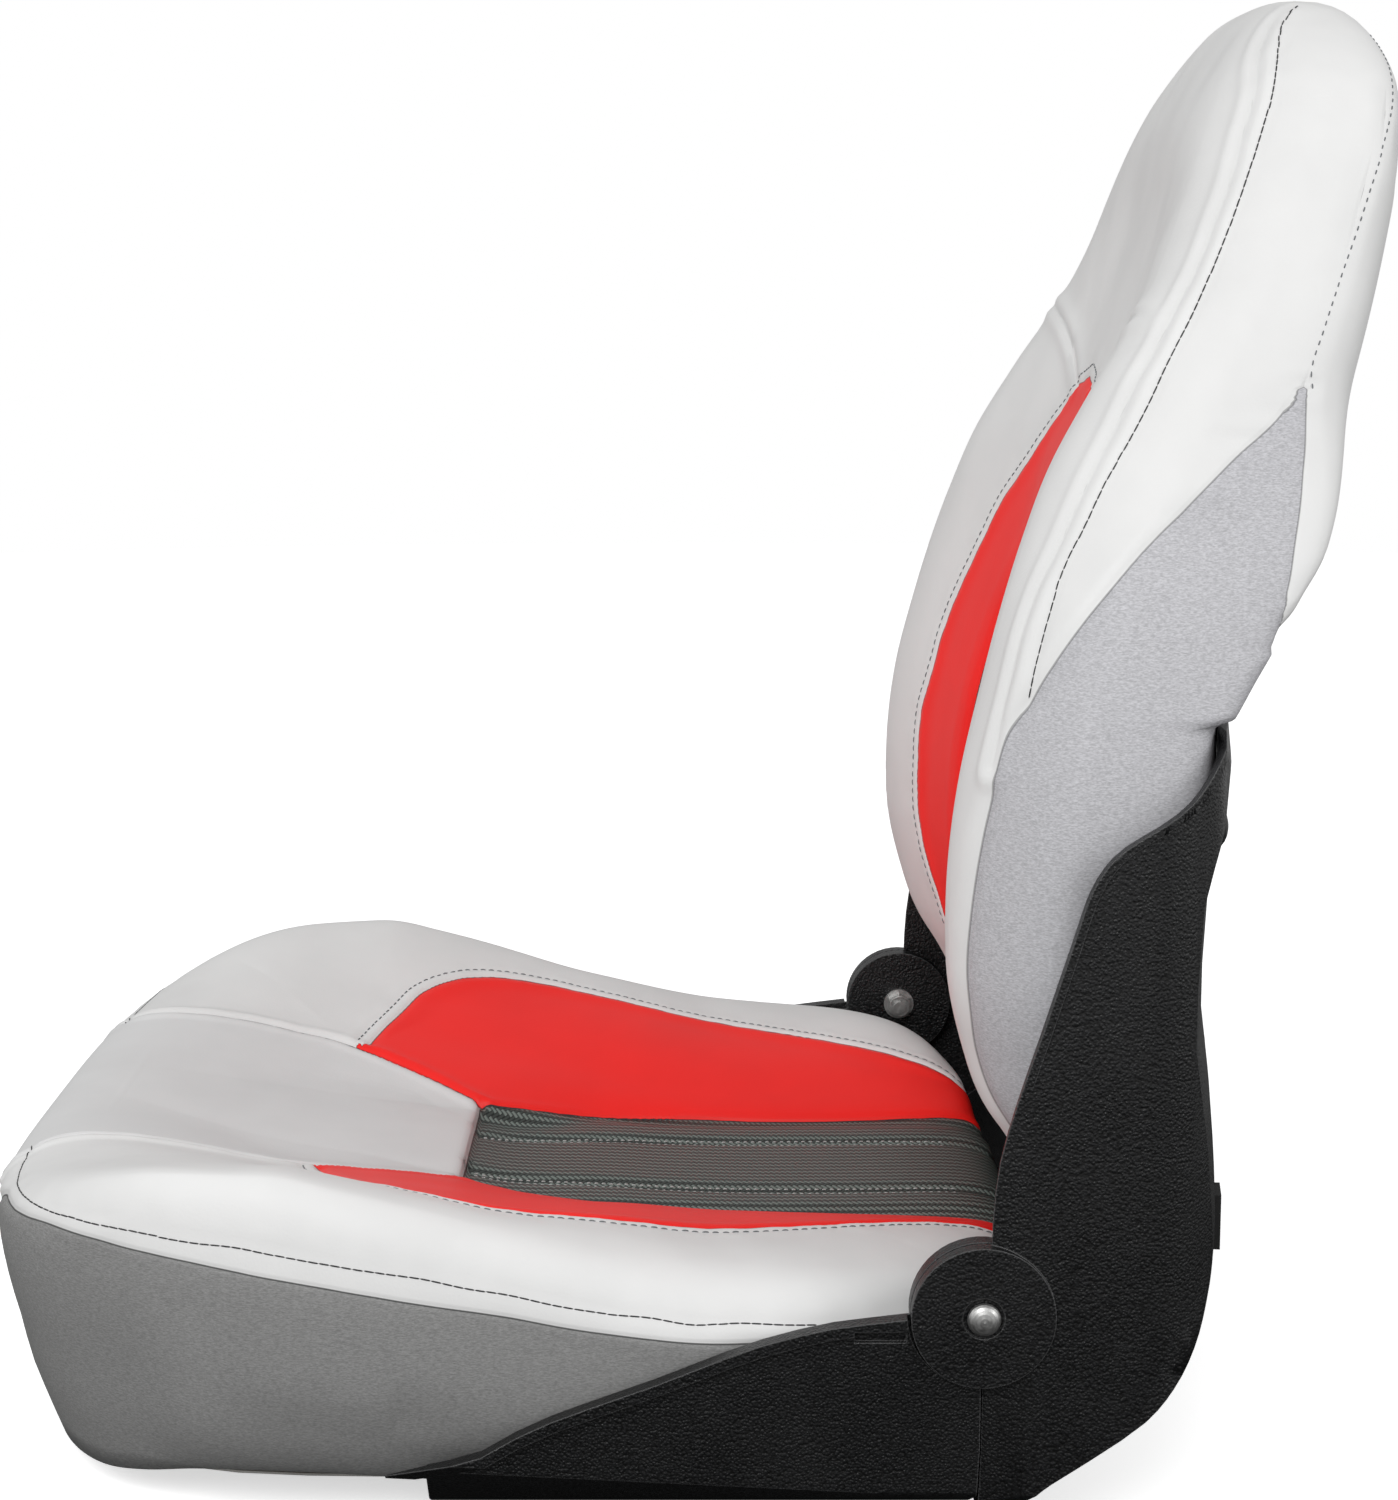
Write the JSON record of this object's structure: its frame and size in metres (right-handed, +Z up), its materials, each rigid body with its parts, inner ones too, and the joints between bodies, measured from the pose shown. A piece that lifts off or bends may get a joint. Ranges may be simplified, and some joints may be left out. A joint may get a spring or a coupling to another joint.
{
  "type": "folding boat seat",
  "caption": "High-back folding boat seat with moulded hinge shells, bolstered seat and back cushions, and a pedestal bolt pattern.",
  "frame": {"origin": "centre of the pedestal bolt pattern, on the flat underside of the seat pan", "axes": "+X to the sitter's left, +Y to the rear (the sitter faces -Y), +Z up"},
  "size_m": [0.5178, 0.588, 0.602],
  "materials": {
    "shell_black": "satin",
    "bush_black": "satin",
    "nylon": "satin",
    "insert_brass": "satin",
    "stainless": "satin",
    "plywood": "matte",
    "bumper_rubber": "matte",
    "underside_cloth": "matte",
    "seat_vinyl": "satin",
    "back_vinyl": "satin"
  },
  "bodies": {
    "base": {"seat_base": "shell_black", "mount_inserts": "insert_brass", "seat_board": "plywood", "seat_tee_nuts": "stainless", "seat_screws": "stainless", "seat_dust_cover": "underside_cloth", "seat_cushion": "seat_vinyl", "hinge_bolt_left": "stainless", "hinge_bolt_right": "stainless", "friction_washer_left": "nylon", "friction_washer_right": "nylon", "flat_washer_left": "stainless", "flat_washer_right": "stainless", "lock_nut_left": "stainless", "lock_nut_right": "stainless"},
    "back": {"back_shell": "shell_black", "hinge_bush_left": "bush_black", "hinge_bush_right": "bush_black", "back_board": "plywood", "back_tee_nuts": "stainless", "back_screws": "stainless", "screw_caps": "shell_black", "rear_bumpers": "bumper_rubber", "back_cushion": "back_vinyl"}
  },
  "joints": [
    {"name": "back_fold", "type": "hinge", "parent": "base", "child": "back", "pos_m": [0, 0.108, 0.095], "axis": [1, 0, 0], "range_deg": [0, 78]}
  ]
}
